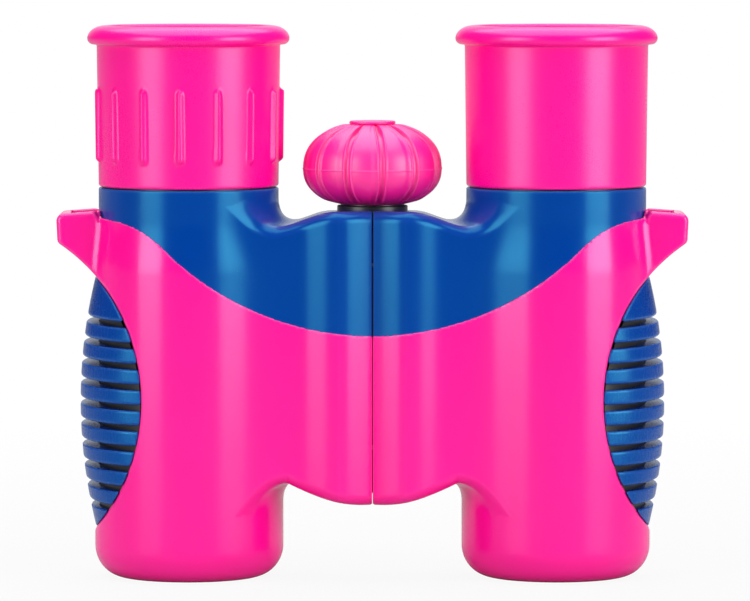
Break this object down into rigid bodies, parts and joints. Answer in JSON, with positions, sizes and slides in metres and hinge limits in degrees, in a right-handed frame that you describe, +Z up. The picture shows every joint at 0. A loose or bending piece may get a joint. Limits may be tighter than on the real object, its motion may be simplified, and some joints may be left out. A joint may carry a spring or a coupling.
{
  "type": "toy binoculars",
  "caption": "Small children's roof-prism binoculars in pink and blue with a folding bridge, a fluted centre focusing knob, a ribbed dioptre eyecup, ribbed side grips and strap lugs.",
  "frame": {"origin": "on the fold axis, at the height of the flat objective rims that the binoculars stand on", "axes": "+Z up along the barrels from the objectives to the eyepieces, +X across to the plain eyecup, +Y to the back with the open hinge groove; left and right in the names are those of a viewer at -Y"},
  "size_m": [0.1108, 0.0356, 0.097],
  "materials": {
    "pink_armour": "satin",
    "pink_rubber": "satin",
    "pink_knob": "semi-gloss",
    "blue_plastic": "gloss",
    "blue_rubber": "semi-gloss",
    "black_plastic": "satin",
    "coated_glass": "polished, coated",
    "prism_glass": "polished",
    "steel": "turned",
    "brass": "turned"
  },
  "bodies": {
    "left_half": {"left_chassis": "black_plastic", "left_upper_shell": "blue_plastic", "left_armour": "pink_armour", "left_grip": "blue_rubber", "left_hood_ring": "black_plastic", "left_prism_cage": "black_plastic", "left_roof_prism": "prism_glass", "left_half_prism": "prism_glass", "left_field_stop": "black_plastic", "left_eyepiece_tube": "black_plastic", "left_ring_keeper": "black_plastic", "hinge_pin": "steel", "hinge_bush": "brass", "hinge_washers": "brass", "hinge_screw": "steel", "bearing_collar": "black_plastic"},
    "right_half": {"right_chassis": "black_plastic", "right_upper_shell": "blue_plastic", "right_armour": "pink_armour", "right_grip": "blue_rubber", "right_hood_ring": "black_plastic", "right_prism_cage": "black_plastic", "right_roof_prism": "prism_glass", "right_half_prism": "prism_glass", "right_field_stop": "black_plastic", "right_eyepiece_tube": "black_plastic", "right_ring_keeper": "black_plastic", "right_cup_ring": "black_plastic", "right_eyecup": "pink_rubber", "right_ocular_cell": "black_plastic", "right_eye_lens": "coated_glass", "right_field_lens": "coated_glass", "right_ocular_ring": "black_plastic"},
    "left_objective": {"left_objective_carriage": "black_plastic", "left_objective_lens": "coated_glass", "left_objective_ring": "black_plastic", "left_focus_arm": "steel", "focus_nut": "brass", "nut_keeper": "brass"},
    "right_objective": {"right_objective_carriage": "black_plastic", "right_objective_lens": "coated_glass", "right_objective_ring": "black_plastic", "right_focus_arm": "steel"},
    "dioptre_ring": {"dioptre_ring": "black_plastic", "left_eyecup": "pink_rubber"},
    "dioptre_ocular": {"left_ocular_cell": "black_plastic", "left_eye_lens": "coated_glass", "left_field_lens": "coated_glass", "left_ocular_ring": "black_plastic", "dioptre_pin": "steel"},
    "focus_knob": {"focus_knob": "pink_knob", "knob_hub": "black_plastic", "focus_shaft": "steel", "knob_screw": "steel", "knob_cap": "pink_knob", "shaft_clip": "steel"}
  },
  "joints": [
    {"name": "fold", "type": "hinge", "parent": "left_half", "child": "right_half", "pos_m": [0, 0, 0], "axis": [0, 0, 1], "range_deg": [0, 80]},
    {"name": "focus_turn", "type": "hinge", "parent": "left_half", "child": "focus_knob", "pos_m": [0, 0, 0], "axis": [0, 0, 1], "range_deg": [-180, 180]},
    {"name": "left_focus", "type": "slide", "parent": "left_half", "child": "left_objective", "axis": [0, 0, 1], "range_m": [-0.0015, 0.0015]},
    {"name": "right_focus", "type": "slide", "parent": "right_half", "child": "right_objective", "axis": [0, 0, 1], "range_m": [-0.0015, 0.0015]},
    {"name": "dioptre_turn", "type": "hinge", "parent": "left_half", "child": "dioptre_ring", "pos_m": [-0.0323, 0, 0], "axis": [0, 0, 1], "range_deg": [-50, 50]},
    {"name": "dioptre_slide", "type": "slide", "parent": "left_half", "child": "dioptre_ocular", "axis": [0, 0, 1], "range_m": [-0.001, 0.001]}
  ],
  "couplings": [
    {"joint": "focus_turn", "follows": "left_focus", "rad_per_m": -2094.4},
    {"joint": "right_focus", "follows": "left_focus", "ratio": 1},
    {"joint": "dioptre_turn", "follows": "dioptre_slide", "rad_per_m": 872.66}
  ]
}
